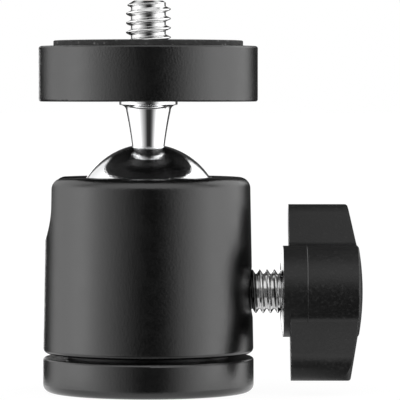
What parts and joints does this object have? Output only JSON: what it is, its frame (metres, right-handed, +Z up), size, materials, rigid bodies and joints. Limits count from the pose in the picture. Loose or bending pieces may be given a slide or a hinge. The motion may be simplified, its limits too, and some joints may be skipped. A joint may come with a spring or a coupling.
{
  "type": "tripod ball head",
  "caption": "Small black ball head with a chrome ball and stem, a drop notch, a two-winged clamp knob, a padded round platform and a camera stud.",
  "frame": {"origin": "middle of the base's underside, at the mouth of the tripod socket", "axes": "+Z up along the tripod socket and the camera stud, +X along the clamp screw towards the knob, drop notch towards -X"},
  "size_m": [0.0439, 0.0296, 0.053],
  "materials": {
    "black_anodised": "satin",
    "steel": "satin",
    "bearing_plastic": "matte",
    "bright_plated": "polished",
    "black_moulded": "matte",
    "chrome": "polished",
    "pad_rubber": "matte"
  },
  "bodies": {
    "base": {"base_disc": "black_anodised", "tripod_bushing": "steel", "pan_washer_lower": "bearing_plastic", "pan_washer_upper": "bearing_plastic", "pan_circlip": "steel"},
    "barrel": {"barrel": "black_anodised", "floor_ring": "black_anodised", "disc_spring": "steel"},
    "seat": {"ramp_ring": "steel"},
    "cup": {"ball_cup": "bearing_plastic"},
    "ball": {"ball": "chrome"},
    "stem": {"stem": "chrome", "platform": "black_anodised", "camera_pad": "pad_rubber", "camera_stud": "chrome"},
    "thrust": {"thrust_cone": "steel"},
    "knob": {"clamp_screw": "bright_plated", "knob_body": "black_moulded"}
  },
  "joints": [
    {"name": "base_pan", "type": "hinge", "parent": "base", "child": "barrel", "pos_m": [0, 0, 0], "axis": [0, 0, 1], "continuous": true},
    {"name": "cup_lift", "type": "slide", "parent": "barrel", "child": "seat", "axis": [0, 0, 1], "range_m": [-0.0002, 0], "deforming": ["disc_spring"]},
    {"name": "ball_swivel", "type": "hinge", "parent": "seat", "child": "cup", "pos_m": [0, 0, 0.0236], "axis": [0, 0, 1], "range_deg": [0, 360]},
    {"name": "ball_tilt", "type": "hinge", "parent": "cup", "child": "ball", "pos_m": [0, 0, 0.0236], "axis": [0, 1, 0], "range_deg": [-90, 35]},
    {"name": "ball_spin", "type": "hinge", "parent": "ball", "child": "stem", "pos_m": [0, 0, 0.0236], "axis": [0, 0, 1], "continuous": true},
    {"name": "clamp_travel", "type": "slide", "parent": "barrel", "child": "thrust", "axis": [1, 0, 0], "range_m": [0, 0.001]},
    {"name": "clamp_turn", "type": "hinge", "parent": "thrust", "child": "knob", "pos_m": [0.0183, 0, 0.0136], "axis": [1, 0, 0], "range_deg": [0, 360]}
  ],
  "couplings": [
    {"joint": "clamp_travel", "follows": "cup_lift", "ratio": -5},
    {"joint": "clamp_turn", "follows": "cup_lift", "rad_per_m": -31416}
  ]
}
